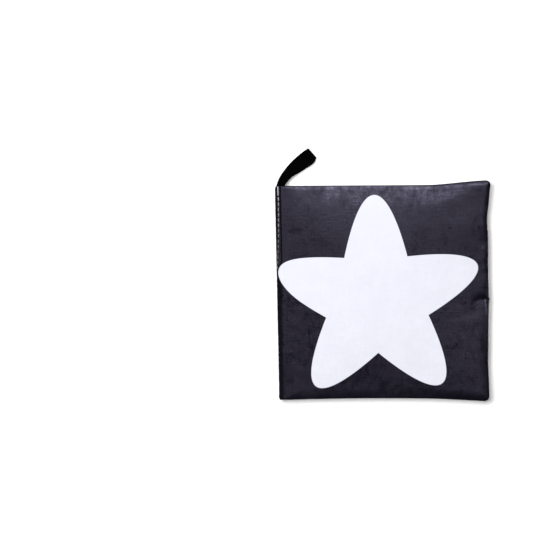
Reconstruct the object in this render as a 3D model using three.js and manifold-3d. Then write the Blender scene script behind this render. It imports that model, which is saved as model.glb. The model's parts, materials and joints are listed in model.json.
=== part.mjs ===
// A square cloth book for a baby: four padded leaves sewn into one spine, with a ribbon loop at its head.
// Millimetres, +Z up. The book lies closed on its back cover, whose middle is the origin.
// +X points to the fore-edge, +Y to the head, and the spine lies along the -X side.
import * as THREE from "three";
import { mergeVertices } from "three/addons/utils/BufferGeometryUtils.js";
import Module from "manifold-3d";

const wasm = await Module();
wasm.setup();

// Sizes of the closed book
const pageWidth = 160.5;
const pageHeight = 161;
const leafThickness = 3.6;
const leafGap = 0.3;
const coverCrown = 2;
const innerLeafReach = 2;
const spineLean = 1.2;

// Outline of a leaf
const cornerRadius = 4;
const headRise = 0.9;
const footDrop = 0.5;
const footDrawIn = 1.4;
const foreDrawIn = 1.3;
const headCornerStretch = 3.3;
const footCornerStretch = 0.9;
const stretchLength = 48;
const edgeRounding = 8;

// Layers of a leaf
const clothThickness = 0.35;
const seamGap = 0.1;
const layerClearance = 0.25;
const paddingInset = 2.6;
const paddingRounding = 3;
const filmThickness = 0.15;
const filmInset = 8;

// Sewn spine
const bundleRadius = 2;
const wrapThickness = 0.55;
const wrapOpeningAngle = 130;
const sewnClearance = 0.15;
const neckClearance = 0.35;
const neckLength = 4;

// Stitches
const stitchPitch = 4;
const threadDiameter = 0.5;
const threadRise = 0.15;
const holeClearance = 0.15;
const knotClearance = 0.2;
const loopSpacing = 0.65;

// Ribbon loop
const ribbonWidth = 9.8;
const ribbonRootWidth = 6.5;
const ribbonThickness = 0.6;
const ribbonStrandGap = 1.3;
const ribbonSpan = 23.9;
const ribbonRootShift = 2.4;
const ribbonRootAngle = 40;
const ribbonSeat = 0.3;
const ribbonRest = 0.8;

// Counts
const leafCount = 4;
const threadSides = 5;
const arcSteps = 14;
const ribbonSteps = 13;
const foldSteps = 6;

// Cloth, thread and filling
const cloths = {
  black: new THREE.MeshStandardMaterial({ color: 0x33303c, roughness: 0.92, metalness: 0 }),
  white: new THREE.MeshStandardMaterial({ color: 0xf0eeec, roughness: 0.9, metalness: 0 }),
  padding: new THREE.MeshStandardMaterial({ color: 0xf4f2ea, roughness: 1, metalness: 0 }),
  film: new THREE.MeshStandardMaterial({ color: 0xdfe6ea, roughness: 0.3, metalness: 0 }),
  thread: new THREE.MeshStandardMaterial({ color: 0xd8d5de, roughness: 0.7, metalness: 0 }),
  ribbon: new THREE.MeshStandardMaterial({ color: 0x050505, roughness: 0.6, metalness: 0 }),
};

// Sizes that follow from those above
const lean = THREE.MathUtils.degToRad(spineLean);
const stackThickness = leafCount * leafThickness + (leafCount - 1) * leafGap;
const spineX = bundleRadius - pageWidth / 2;
const spineZ = stackThickness / 2;
const neckThickness = 2 * clothThickness + seamGap;
const neckStart = bundleRadius + neckClearance;
const foreEdge = pageWidth - bundleRadius;
const pageMiddle = foreEdge / 2;
const threadRadius = bundleRadius + threadRise - threadDiameter / 2;
const grooveFloor = threadRadius - threadDiameter / 2 - sewnClearance / 2;

const book = new THREE.Group();

// A smooth step from 0 to 1.
function ease(t) {
  const c = Math.min(1, Math.max(0, t));
  return c * c * (3 - 2 * c);
}

// A quarter ellipse from 0 to 1, the side of a sewn cushion.
function bulge(t) {
  const c = Math.min(1, Math.max(0, t));
  return Math.sqrt(1 - (1 - c) * (1 - c));
}

// A node of the book: one mesh placed by the spine's axis.
function addPiece(name, geometry, cloth) {
  const mesh = new THREE.Mesh(geometry, cloth);
  mesh.name = name;
  mesh.position.set(spineX, 0, spineZ);
  mesh.rotation.z = lean;
  book.add(mesh);
}

// A closed body between two nets of points with the same rows and columns.
function closedLayer(upper, lower) {
  const rows = upper.length;
  const columns = upper[0].length;
  const positions = [...upper.flat(), ...lower.flat()].flatMap((p) => [p.x, p.y, p.z]);
  const top = (i, j) => i * columns + j;
  const bottom = (i, j) => rows * columns + i * columns + j;
  const faces = [];
  const quad = (a, b, c, d) => faces.push(a, b, c, a, c, d);
  for (let i = 0; i < rows - 1; i++) {
    for (let j = 0; j < columns - 1; j++) {
      quad(top(i, j), top(i + 1, j), top(i + 1, j + 1), top(i, j + 1));
      quad(bottom(i, j), bottom(i, j + 1), bottom(i + 1, j + 1), bottom(i + 1, j));
    }
    const last = columns - 1;
    quad(bottom(i, 0), bottom(i + 1, 0), top(i + 1, 0), top(i, 0));
    quad(top(i, last), top(i + 1, last), bottom(i + 1, last), bottom(i, last));
  }
  for (let j = 0; j < columns - 1; j++) {
    const end = rows - 1;
    quad(top(0, j), top(0, j + 1), bottom(0, j + 1), bottom(0, j));
    quad(bottom(end, j), bottom(end, j + 1), top(end, j + 1), top(end, j));
  }
  const geometry = new THREE.BufferGeometry();
  geometry.setAttribute("position", new THREE.Float32BufferAttribute(positions, 3));
  geometry.setIndex(faces);
  return geometry;
}

// A closed tube through a row of equal rings, with a fan over each end.
function closedRings(rings) {
  const sides = rings[0].length;
  const positions = rings.flat().flatMap((p) => [p.x, p.y, p.z]);
  const faces = [];
  for (let i = 0; i < rings.length - 1; i++) {
    for (let j = 0; j < sides; j++) {
      const a = i * sides + j;
      const b = i * sides + ((j + 1) % sides);
      faces.push(a, b, b + sides, a, b + sides, a + sides);
    }
  }
  const end = (rings.length - 1) * sides;
  for (let j = 1; j < sides - 1; j++) {
    faces.push(0, j + 1, j);
    faces.push(end, end + j, end + j + 1);
  }
  const geometry = new THREE.BufferGeometry();
  geometry.setAttribute("position", new THREE.Float32BufferAttribute(positions, 3));
  geometry.setIndex(faces);
  return geometry;
}

// A three.js geometry as a solid that can be cut or joined.
function solidFrom(geometry) {
  const bare = geometry.clone();
  bare.deleteAttribute("normal");
  bare.deleteAttribute("uv");
  const merged = mergeVertices(bare, 1e-5);
  const vertProperties = merged.attributes.position.array;
  const triVerts = new Uint32Array(merged.index.array);
  return new wasm.Manifold(new wasm.Mesh({ numProp: 3, vertProperties, triVerts }));
}

// The geometry of a cut or joined solid.
function geometryFrom(solid) {
  const mesh = solid.getMesh();
  const geometry = new THREE.BufferGeometry();
  geometry.setAttribute("position", new THREE.BufferAttribute(mesh.vertProperties, 3));
  geometry.setIndex(new THREE.BufferAttribute(mesh.triVerts, 1));
  return geometry;
}

// Leaves
// Each leaf is described by its distance d from the hinge axis and by s, from -1 (foot) to +1 (head).

// The thickness of a leaf, thin where it is sewn and full over the padding.
function thicknessAt(d) {
  return neckThickness + (leafThickness - neckThickness) * ease((d - neckStart) / neckLength);
}

// The height of a leaf's middle over the axis, so that the leaves nest at any thickness.
function levelAt(leaf, d) {
  return (leaf - (leafCount - 1) / 2) * (thicknessAt(d) + leafGap);
}

// The page from its middle to the head or the foot, at a distance from the axis.
// The head and the foot stay square to the fore-edge, and the leaning spine is longer at one end than the other.
function sideAt(d, towardsHead, inset) {
  const across = (d - pageMiddle) / pageMiddle;
  const headSide = (headRise * d) / foreEdge - d * Math.sin(lean);
  const footSide = footDrop - footDrawIn * (1 - across * across) + d * Math.sin(lean);
  const cornerStretch = towardsHead ? headCornerStretch : footCornerStretch;
  const stretch = cornerStretch * ease((d - foreEdge + stretchLength) / stretchLength);
  const intoCorner = Math.max(0, d - (foreEdge - cornerRadius)) / cornerRadius;
  const rounded = cornerRadius * (1 - Math.sqrt(Math.max(0, 1 - intoCorner * intoCorner)));
  return pageHeight / 2 + (towardsHead ? headSide : footSide) + stretch - rounded - inset;
}

// How far the fore-edge stands off a line along the spine.
// The seams draw it in between its corners, an inner leaf reaches further out, and it stands upright.
function foreShift(d, y, s, reach) {
  const towardsEdge = ease((d - pageMiddle) / (foreEdge - pageMiddle));
  return towardsEdge * (reach * (1 - s * s * s * s) - foreDrawIn * (1 - s * s) + y * Math.sin(lean));
}

// Half the thickness of a leaf at a point, drawn in to the seam at its three sewn sides.
function halfThicknessAt(d, y, headSide, footSide) {
  const fromEdge = Math.min(headSide - y, y + footSide, foreEdge - d);
  const full = thicknessAt(d) / 2;
  const seam = neckThickness / 2;
  return seam + (full - seam) * bulge(fromEdge / edgeRounding);
}

// The swell of the front cover's upper side.
function crownAt(leaf, d, s) {
  if (leaf < leafCount - 1) {
    return 0;
  }
  const across = (d - pageMiddle) / pageMiddle;
  return coverCrown * (1 - across * across) * (1 - s * s);
}

// Distances from the axis at which a layer has a row of points.
function rowsBetween(start, end) {
  const neckEnd = neckStart + neckLength;
  const inNeck = [0.25, 0.5, 0.75, 1].map((t) => neckStart + neckLength * t);
  const overPage = [0.14, 0.4, 0.66, 0.84].map((t) => neckEnd + (foreEdge - neckEnd) * t);
  const inCorner = [1, 0.5, 0.15].map((t) => foreEdge - cornerRadius * t);
  const inside = [...inNeck, ...overPage, foreEdge - edgeRounding, ...inCorner];
  const between = inside.filter((d) => d > start + 0.4 && d < end - 0.4);
  return [start, ...between.sort((a, b) => a - b), end];
}

// Shares of the half height at which a row has its points.
function columnsFor(half) {
  const steps = [0.1, 0.38, 1].map((t) => 1 - (edgeRounding * t) / half);
  const outer = [1, ...steps, 0.76, 0.4];
  return [...outer.map((s) => -s), 0, ...outer.reverse()];
}

// A layer of one leaf: height(d, s, y, half) gives the upper and the lower height over the leaf's level.
function leafLayer(leaf, start, end, inset, reach, height) {
  const upper = [];
  const lower = [];
  for (const d of rowsBetween(start, end)) {
    const level = levelAt(leaf, d);
    const upperRow = [];
    const lowerRow = [];
    for (const s of columnsFor(pageHeight / 2)) {
      const side = sideAt(d, s > 0, inset);
      const y = s * side;
      const half = halfThicknessAt(d, y, sideAt(d, true, 0), sideAt(d, false, 0));
      const [high, low] = height(d, s, y, half);
      const x = d + foreShift(d, y, s, reach);
      upperRow.push(new THREE.Vector3(x, y, level + high));
      lowerRow.push(new THREE.Vector3(x, y, level + low));
    }
    upper.push(upperRow);
    lower.push(lowerRow);
  }
  return closedLayer(upper, lower);
}

// Where a leaf's neck starts, so that its nearest corner clears the spine.
function neckStartOf(leaf) {
  const nearest = Math.max(0, Math.abs(levelAt(leaf, neckStart)) - neckThickness / 2);
  return Math.sqrt(neckStart * neckStart - nearest * nearest);
}

function addLeaf(name, leaf, faces) {
  const cover = leaf === 0 || leaf === leafCount - 1;
  const reach = cover ? 0 : innerLeafReach;
  const start = neckStartOf(leaf);
  const front = (d, s, y, half) => [half + crownAt(leaf, d, s), half - clothThickness + crownAt(leaf, d, s)];
  const back = (d, s, y, half) => [clothThickness - half, -half];
  addPiece(name + "_" + faces.front, leafLayer(leaf, start, foreEdge, 0, reach, front), faces.frontCloth);
  addPiece(name + "_" + faces.back, leafLayer(leaf, start, foreEdge, 0, reach, back), faces.backCloth);

  const filmRoom = filmThickness + layerClearance;
  const filmAbove = leaf === leafCount - 1 ? filmRoom : 0;
  const filmBelow = leaf === 0 ? filmRoom : 0;
  const paddingStart = neckStart + 0.75 * neckLength;
  const paddingEnd = foreEdge - paddingInset;
  const inside = (half) => half - clothThickness - layerClearance;
  const padding = (d, s, y, half) => {
    const side = sideAt(d, s > 0, paddingInset);
    const fromEdge = Math.min(side - Math.abs(y), paddingEnd - d, d - paddingStart);
    const share = 0.4 + 0.6 * bulge(fromEdge / paddingRounding);
    const high = (inside(half) - filmAbove) * share + crownAt(leaf, d, s);
    return [high, -(inside(half) - filmBelow) * share];
  };
  const paddingGeometry = leafLayer(leaf, paddingStart, paddingEnd, paddingInset, reach, padding);
  addPiece(name + "_padding", paddingGeometry, cloths.padding);

  if (cover) {
    const film = (d, s, y, half) => {
      const high = inside(half) + crownAt(leaf, d, s);
      return leaf === 0 ? [filmThickness - inside(half), -inside(half)] : [high, high - filmThickness];
    };
    const filmStart = paddingStart + filmInset;
    const filmGeometry = leafLayer(leaf, filmStart, foreEdge - filmInset, filmInset, 0, film);
    addPiece(name + "_crinkle_film", filmGeometry, cloths.film);
  }
}

// Spine
// The leaves' sewn edges lie on each other in a round bundle that the wrap closes on the outside.

// An outline in the plane across the spine, drawn out along the spine.
function alongSpine(outline) {
  const geometry = new THREE.ExtrudeGeometry(new THREE.Shape(outline), {
    depth: pageHeight,
    bevelEnabled: false,
  });
  geometry.rotateX(Math.PI / 2);
  geometry.translate(0, pageHeight / 2, 0);
  return geometry;
}

// Points of an arc about the hinge axis, by angles in degrees from +X.
function arc(radius, from, to, steps) {
  const points = [];
  for (let i = 0; i <= steps; i++) {
    const angle = THREE.MathUtils.degToRad(from + ((to - from) * i) / steps);
    points.push(new THREE.Vector2(radius * Math.cos(angle), radius * Math.sin(angle)));
  }
  return points;
}

const stitchCount = Math.floor(pageHeight / stitchPitch);
const stitchPlaces = [];
for (let i = 0; i < stitchCount; i++) {
  stitchPlaces.push((i - (stitchCount - 1) / 2) * stitchPitch);
}

// A box given by its middle and size, as a solid to cut with.
function cutter(width, length, height, y, z) {
  const box = new THREE.BoxGeometry(width, length, height);
  box.translate(0, y, z);
  return solidFrom(box);
}

const holeWidth = threadDiameter + 2 * holeClearance;
const holeLength = loopSpacing + threadDiameter + 2 * holeClearance;
const holeReach = 2 * (bundleRadius + threadDiameter);

// The needle pierces the whole bundle, so one row of holes cuts every piece of it.
const needleHoles = wasm.Manifold.union(
  stitchPlaces.map((y) => cutter(holeWidth, holeLength, holeReach, y, 0)),
);

function addSewnEdge(name, leaf, cloth) {
  const innerRadius = bundleRadius - wrapThickness - sewnClearance;
  const room = 2 * (innerRadius - sewnClearance);
  const thickness = (room - (leafCount - 1) * sewnClearance) / leafCount;
  const middle = (leaf - (leafCount - 1) / 2) * (thickness + sewnClearance);
  const low = middle - thickness / 2;
  const high = middle + thickness / 2;
  const degrees = (radius, z) => THREE.MathUtils.radToDeg(Math.asin(z / radius));
  const towardsPage = arc(bundleRadius, degrees(bundleRadius, low), degrees(bundleRadius, high), 3);
  const towardsWrap = arc(innerRadius, 180 - degrees(innerRadius, high), 180 - degrees(innerRadius, low), 3);
  const edge = solidFrom(alongSpine([...towardsPage, ...towardsWrap]));
  addPiece(name + "_sewn_edge", geometryFrom(edge.subtract(needleHoles)), cloth);
}

function addSpineWrap() {
  const opening = wrapOpeningAngle / 2;
  const outer = arc(bundleRadius, opening, 360 - opening, arcSteps);
  const inner = arc(bundleRadius - wrapThickness, 360 - opening, opening, arcSteps);
  const strip = solidFrom(alongSpine([...outer, ...inner]));
  const grooveDepth = 2 * (bundleRadius - grooveFloor);
  const grooves = [1, -1].map((side) => {
    const z = side * (grooveFloor + grooveDepth / 2);
    return cutter(holeWidth, pageHeight * 1.1, grooveDepth, 0, z);
  });
  const cut = strip.subtract(grooves[0]).subtract(grooves[1]).subtract(needleHoles);
  addPiece("spine_wrap", geometryFrom(cut), cloths.black);
}

// Stitches
// Each thread lies in its groove and dips into every hole, where the two threads meet half way.
function threadPath(side) {
  const deep = knotClearance / 2 + threadDiameter / 2;
  const leg = loopSpacing / 2;
  const bend = threadDiameter / 2;
  const points = [[-pageHeight / 2 + sewnClearance, threadRadius]];
  for (const y of stitchPlaces) {
    points.push([y - leg - bend, threadRadius]);
    points.push([y - leg, threadRadius - bend]);
    points.push([y - leg, deep]);
    points.push([y + leg, deep]);
    points.push([y + leg, threadRadius - bend]);
    points.push([y + leg + bend, threadRadius]);
  }
  points.push([pageHeight / 2 - sewnClearance, threadRadius]);
  return points.map(([y, z]) => new THREE.Vector2(y, side * z));
}

// A round tube along a path that stays in the plane through the spine's axis.
function threadGeometry(path) {
  const rings = path.map((point, i) => {
    const before = path[Math.max(0, i - 1)];
    const after = path[Math.min(path.length - 1, i + 1)];
    const into = point.clone().sub(before).normalize();
    const out = after.clone().sub(point).normalize();
    const along = into.clone().add(out).normalize();
    const across = new THREE.Vector2(-along.y, along.x);
    const turn = Math.max(0.7, Math.abs(along.dot(i === 0 ? out : into)));
    const ring = [];
    for (let j = 0; j < threadSides; j++) {
      const angle = ((j + 0.5) / threadSides) * 2 * Math.PI;
      const sideways = (-threadDiameter / 2) * Math.cos(angle);
      const outward = ((threadDiameter / 2) * Math.sin(angle)) / turn;
      const y = point.x + across.x * outward;
      const z = point.y + across.y * outward;
      ring.push(new THREE.Vector3(sideways, y, z));
    }
    return ring;
  });
  return closedRings(rings);
}

// Ribbon loop
// One ribbon runs out from the head of the spine, folds on itself and runs back over its own first half.
function addRibbon() {
  const foldGap = ribbonStrandGap + ribbonThickness;
  const restLevel = ribbonRest + foldGap / 2 + ribbonThickness / 2 - spineZ;
  const routePoint = (out, up, sag) => {
    const y = pageHeight / 2 + ribbonSeat + ribbonSpan * up;
    return new THREE.Vector3(ribbonRootShift + ribbonSpan * out, y, restLevel * sag);
  };
  const route = new THREE.CatmullRomCurve3([
    routePoint(0, 0, 0),
    routePoint(0.03, 0.09, 0.05),
    routePoint(0.13, 0.25, 0.34),
    routePoint(0.3, 0.42, 0.66),
    routePoint(0.55, 0.63, 0.9),
    routePoint(0.8, 0.84, 1),
    routePoint(0.99, 1, 1),
  ]);
  const stations = [];
  for (let i = 0; i <= ribbonSteps; i++) {
    const t = i / ribbonSteps;
    const centre = route.getPoint(t);
    const along = i === 0 ? new THREE.Vector3(0, 1, 0) : route.getTangent(t);
    const flatSide = new THREE.Vector3(along.y, -along.x, 0).normalize();
    const tilt = THREE.MathUtils.degToRad(ribbonRootAngle) * (1 - ease(t / 0.8));
    const across = flatSide.applyAxisAngle(along, -tilt);
    const up = new THREE.Vector3().crossVectors(across, along).normalize();
    const width = ribbonRootWidth + (ribbonWidth - ribbonRootWidth) * ease(t / 0.45);
    stations.push({ centre, along, across, up, width });
  }
  const corners = (centre, across, up, width) => {
    const half = across.clone().multiplyScalar(width / 2);
    const thick = up.clone().multiplyScalar(ribbonThickness / 2);
    const place = (sideways, upward) =>
      centre.clone().addScaledVector(half, sideways).addScaledVector(thick, upward);
    return [place(1, -1), place(-1, -1), place(-1, 1), place(1, 1)];
  };
  const rings = [];
  for (const { centre, across, up, width } of stations) {
    const lower = centre.clone().addScaledVector(up, -foldGap / 2);
    rings.push(corners(lower, across, up, width));
  }
  const end = stations[stations.length - 1];
  for (let i = 1; i < foldSteps; i++) {
    const angle = (Math.PI * i) / foldSteps;
    const reach = Math.sin(angle);
    const height = -Math.cos(angle);
    const outward = end.up.clone().multiplyScalar(height).addScaledVector(end.along, reach);
    const centre = end.centre.clone().addScaledVector(outward, foldGap / 2);
    rings.push(corners(centre, end.across, outward.clone().negate(), end.width));
  }
  for (const { centre, across, up, width } of [...stations].reverse()) {
    const upper = centre.clone().addScaledVector(up, foldGap / 2);
    rings.push(corners(upper, across, up.clone().negate(), width));
  }
  addPiece("ribbon_loop", closedRings(rings), cloths.ribbon);
}

const { black, white } = cloths;
const outerBack = { front: "inner_cloth", back: "outer_cloth", frontCloth: white, backCloth: black };
const outerFront = { front: "outer_cloth", back: "inner_cloth", frontCloth: black, backCloth: white };
const page = { front: "front_cloth", back: "back_cloth", frontCloth: white, backCloth: white };

const leaves = [
  { name: "back_cover", faces: outerBack },
  { name: "leaf_2", faces: page },
  { name: "leaf_1", faces: page },
  { name: "front_cover", faces: outerFront },
];
leaves.forEach(({ name, faces }, leaf) => {
  addLeaf(name, leaf, faces);
  addSewnEdge(name, leaf, faces.backCloth);
});
addSpineWrap();
addPiece("needle_thread", threadGeometry(threadPath(1)), cloths.thread);
addPiece("bobbin_thread", threadGeometry(threadPath(-1)), cloths.thread);
addRibbon();

export default book;
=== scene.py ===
"""A square cloth book with padded leaves, a sewn spine and a ribbon loop."""
import json
import math

import bmesh
import bpy
import numpy as np
from bpy.props import BoolProperty, FloatProperty, FloatVectorProperty, IntProperty, PointerProperty
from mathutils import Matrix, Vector


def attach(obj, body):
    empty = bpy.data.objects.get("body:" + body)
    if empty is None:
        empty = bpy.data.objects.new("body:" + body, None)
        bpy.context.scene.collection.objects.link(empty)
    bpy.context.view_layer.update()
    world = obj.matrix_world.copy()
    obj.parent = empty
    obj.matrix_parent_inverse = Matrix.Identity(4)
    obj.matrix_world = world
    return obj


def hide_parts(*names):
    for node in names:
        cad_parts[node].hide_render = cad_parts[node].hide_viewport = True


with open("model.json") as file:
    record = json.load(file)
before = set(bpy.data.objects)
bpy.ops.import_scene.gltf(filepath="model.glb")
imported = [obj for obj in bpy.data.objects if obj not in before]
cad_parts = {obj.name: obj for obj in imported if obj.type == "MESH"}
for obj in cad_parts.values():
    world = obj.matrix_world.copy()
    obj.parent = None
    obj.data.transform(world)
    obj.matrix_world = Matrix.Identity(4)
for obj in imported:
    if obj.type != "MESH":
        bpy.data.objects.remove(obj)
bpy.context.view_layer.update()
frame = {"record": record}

bl_info = {
    "name": "Padded cloth book",
    "version": (1, 0, 0),
    "blender": (4, 5, 0),
    "location": "3D View > Sidebar > Cloth book",
    "description": "Makes a padded cloth book with printed pages and a ribbon loop",
    "category": "Add Mesh",
}

MM = 0.001


def colour(code):
    """A colour written as six hex digits, as linear red, green and blue."""
    parts = [int(code[i:i + 2], 16) / 255 for i in (0, 2, 4)]
    return tuple(c / 12.92 if c <= 0.04045 else ((c + 0.055) / 1.055) ** 2.4 for c in parts)


# Sizes and colours

def length(name, description, default, low=0.0):
    return FloatProperty(name=name, description=description, default=default, min=low,
                         subtype="DISTANCE", unit="LENGTH", precision=5)


def tint(name, description, code):
    return FloatVectorProperty(name=name, description=description, default=colour(code), size=3,
                               min=0.0, max=1.0, subtype="COLOR")


def power(name, description, default):
    return FloatProperty(name=name, description=description, default=default, min=0.0, unit="POWER")


class BookSizes(bpy.types.PropertyGroup):
    """Sizes of the closed book."""
    page_width: length("Page width", "From the spine to the fore-edge", 0.1605)
    page_height: length("Page height", "From the foot to the head", 0.161)
    leaf_thickness: length("Leaf thickness", "One padded leaf", 0.0036)
    leaf_gap: length("Leaf gap", "Room between two closed leaves", 0.0003)
    cover_crown: length("Cover crown", "How far the front cover swells in its middle", 0.0020)
    corner_radius: length("Corner radius", "Rounding of the fore-edge corners", 0.0040)
    edge_rounding: length("Edge rounding", "Width over which the padding thins to the seam", 0.0080)
    inner_reach: length("Inner leaf reach", "How far the inner leaves stand out at the fore-edge", 0.0014)
    pucker_depth: length("Pucker depth", "Height of the gathers along the seams", 0.00022)
    pucker_width: length("Pucker width", "Distance from one gather to the next", 0.0074)


class SpineSizes(bpy.types.PropertyGroup):
    """Sizes of the sewn spine and its ribbon."""
    bundle_radius: length("Spine radius", "Half the thickness of the wrapped spine", 0.0020)
    stitch_pitch: length("Stitch pitch", "From one stitch to the next", 0.0040)
    thread_diameter: length("Thread diameter", "The white sewing thread", 0.0004)
    ribbon_width: length("Ribbon width", "The flat ribbon of the loop", 0.0098)
    ribbon_span: length("Ribbon span", "How far the loop reaches along the spine", 0.0239)
    thread_plies: IntProperty(name="Thread plies", description="Strands twisted together in the thread",
                              default=3, min=2, max=6)


class BookColours(bpy.types.PropertyGroup):
    """Colours of the cloth, the prints, the thread and the ribbon."""
    cover: tint("Cover cloth", "The black cloth of both covers", "0C0912")
    star: tint("Star", "The white star on the front cover", "EFF0FA")
    page: tint("Page cloth", "The white cloth of the pages", "EDEBE8")
    print_black: tint("Page print", "The black print on the pages", "1C1B1F")
    thread: tint("Thread", "The white sewing thread", "D9D6DE")
    ribbon: tint("Ribbon", "The black ribbon", "030304")
    lining: tint("Sewn edges", "The raw cloth edges inside the spine", "D8D6D2")


class StageSettings(bpy.types.PropertyGroup):
    """The floor, the lamps and the view."""
    head_lamp: power("Head lamp", "Power of the lamp beyond the head of the book", 5.9)
    wide_lamp: power("Wide lamp", "Power of the lamp over the upper left", 23.5)
    sky: FloatProperty(name="Room light", description="Even light from all around", default=0.02, min=0.0)
    view_distance: length("View distance", "Height of the camera over the table", 2.265)
    white_floor: BoolProperty(name="White floor", description="Show the table as plain white", default=True)


# Materials

class Value:
    """A number that varies over a surface, written as Python maths."""

    def __init__(self, look, socket):
        self.look = look
        self.socket = socket

    def maths(self, operation, *others, clamp=False):
        node = self.look.node("ShaderNodeMath", {"operation": operation, "use_clamp": clamp}, (self, *others))
        return Value(self.look, node.outputs[0])

    def __add__(self, other):
        return self.maths("ADD", other)

    def __sub__(self, other):
        return self.maths("SUBTRACT", other)

    def __rsub__(self, other):
        return (self * -1) + other

    def __mul__(self, other):
        return self.maths("MULTIPLY", other)

    def __truediv__(self, other):
        return self.maths("DIVIDE", other)

    def __abs__(self):
        return self.maths("ABSOLUTE")

    def __pow__(self, other):
        return self.maths("POWER", other)

    __radd__ = __add__
    __rmul__ = __mul__

    def sine(self):
        return self.maths("SINE")

    def fold(self, width):
        """Runs from 0 up to half the width and back, over and over."""
        return self.maths("PINGPONG", width / 2)

    def wrap(self, width):
        return self.maths("WRAP", width, 0.0)

    def floor(self):
        return self.maths("FLOOR")

    def squared(self):
        return self * self

    def above(self, edge, blur=0.3):
        """1 where the value is over the edge and 0 under it, softened over the blur."""
        return ((self - edge) / blur + 0.5).maths("ADD", 0.0, clamp=True)

    def below(self, edge, blur=0.3):
        return 1 - self.above(edge, blur)

    def between(self, low, high):
        """Runs from 0 at the low value to 1 at the high one, eased at both ends."""
        inputs = {"Value": self, "From Min": low, "From Max": high}
        node = self.look.node("ShaderNodeMapRange", {"interpolation_type": "SMOOTHSTEP"}, inputs)
        return Value(self.look, node.outputs[0])


class Look:
    """A material that is put together from nodes."""

    def __init__(self, name):
        self.material = bpy.data.materials.new(name)
        self.material.use_nodes = True
        self.nodes = self.material.node_tree.nodes
        self.links = self.material.node_tree.links
        self.material.diffuse_color = (0.5, 0.5, 0.5, 1.0)
        # The position on the piece in millimetres
        spot = self.node("ShaderNodeTexCoord").outputs["Object"]
        self.spot = self.vector_maths("SCALE", {0: spot, "Scale": 1 / MM})
        split = self.node("ShaderNodeSeparateXYZ", None, (self.spot,))
        self.x, self.y = [Value(self, out) for out in split.outputs[:2]]

    def node(self, kind, settings=None, inputs=()):
        """Adds a node: its settings come first, then the values or links of its sockets."""
        node = self.nodes.new(kind)
        for key, value in (settings or {}).items():
            setattr(node, key, value)
        pairs = inputs.items() if isinstance(inputs, dict) else enumerate(inputs)
        for key, value in pairs:
            self.put(node.inputs[key], value)
        return node

    def put(self, socket, value):
        """Links a value to a socket, or sets the socket to a constant."""
        if isinstance(value, Value):
            value = value.socket
        if isinstance(value, bpy.types.NodeSocket):
            self.links.new(value, socket)
        elif socket.type == "RGBA":
            socket.default_value = (*value, 1.0)
        else:
            socket.default_value = value

    def vector_maths(self, operation, inputs):
        return self.node("ShaderNodeVectorMath", {"operation": operation}, inputs).outputs[0]

    def attribute(self, name):
        node = self.node("ShaderNodeAttribute", {"attribute_name": name, "attribute_type": "GEOMETRY"})
        return Value(self, node.outputs["Fac"])

    def noise(self, scale, detail=2.0, stretch=None):
        """Noise around 0: the scale counts its spots per millimetre."""
        at = self.vector_maths("MULTIPLY", (self.spot, stretch)) if stretch else self.spot
        inputs = {"Vector": at, "Scale": scale, "Detail": detail}
        return Value(self, self.node("ShaderNodeTexNoise", None, inputs).outputs[0]) - 0.5

    def mix(self, share, first, second):
        """Mixes two colours."""
        node = self.node("ShaderNodeMix", {"data_type": "RGBA"}, {0: share, 6: first, 7: second})
        return node.outputs[2]

    def shade(self, tone, strength):
        """Darkens or lightens a colour by a value around 1."""
        return self.vector_maths("SCALE", {0: tone, "Scale": strength})

    def bump(self, height, distance, strength):
        inputs = {"Strength": strength, "Distance": distance, "Height": height}
        return self.node("ShaderNodeBump", None, inputs).outputs[0]

    def finish(self, base, roughness, more):
        """Gives the shader its colour, its roughness and more inputs by name."""
        shader = self.nodes["Principled BSDF"]
        for name, value in {"Base Color": base, "Roughness": roughness, **more}.items():
            self.put(shader.inputs[name], value)
        return self.material


def weave(x, y, pitch):
    """A plain weave: threads along x and y that pass over each other, from 0 to 1."""
    turn = math.pi / pitch
    over = ((x * turn).sine() * (y * turn).sine()) * 0.5 + 0.5
    warp = abs((x * turn).sine())
    weft = abs((y * turn).sine())
    return warp * over + weft * (1 - over)


def distance(x, y):
    return (x.squared() + y.squared()) ** 0.5


def inside(x, y, wide, high):
    """1 in a rectangle round the middle of the page, given by half its width and half its height."""
    return abs(x).below(wide) * abs(y).below(high)


def star_print(x, y):
    """A five-armed star with full rounded arms."""
    middle, turn, breadth = (-4.92, -5.7), 0.026, 1.017
    arm_shift, arm_length, arm_width = 268.7, 348.0, 46.7
    across = (x - middle[0]) / breadth
    up = y - middle[1]
    angle = up.maths("ARCTAN2", across)
    turned = (angle - math.pi / 2 - turn).fold(2 * math.pi / 5)
    reach = distance(across, up)
    along = reach * turned.maths("COSINE")
    beside = reach * turned.sine()
    size = ((along + arm_shift) / arm_length).squared() + (beside / arm_width).squared()
    return size.below(1.0, 0.003)


def rings_print(x, y):
    """Rings inside each other round the middle of the page."""
    reach = distance(x, y)
    return reach.wrap(20.0).above(10.0) * reach.below(60.0)


def bars_print(x, y):
    """Broad upright bars with a margin all round."""
    return (x + 4.5).wrap(18.0).below(9.0) * inside(x, y, 60.0, 58.0)


def checks_print(x, y):
    """A chequered square."""
    squares = (x / 15.0).floor() + (y / 15.0).floor()
    return squares.wrap(2.0).above(0.5) * inside(x, y, 59.8, 59.8)


def dots_print(x, y):
    """Rows of dots."""
    dot = distance(x.wrap(22.0) - 11.0, y.wrap(22.0) - 11.0)
    return dot.below(7.0) * inside(x, y, 66.0, 66.0)


def zigzag_print(x, y):
    """Zigzag bands from side to side."""
    return (y + x.fold(24.0)).wrap(20.0).below(10.0) * inside(x, y, 60.0, 60.0)


def diamonds_print(x, y):
    """Diamonds inside each other."""
    reach = abs(x) + abs(y)
    return reach.wrap(22.0).above(11.0) * reach.below(66.0)


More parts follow.
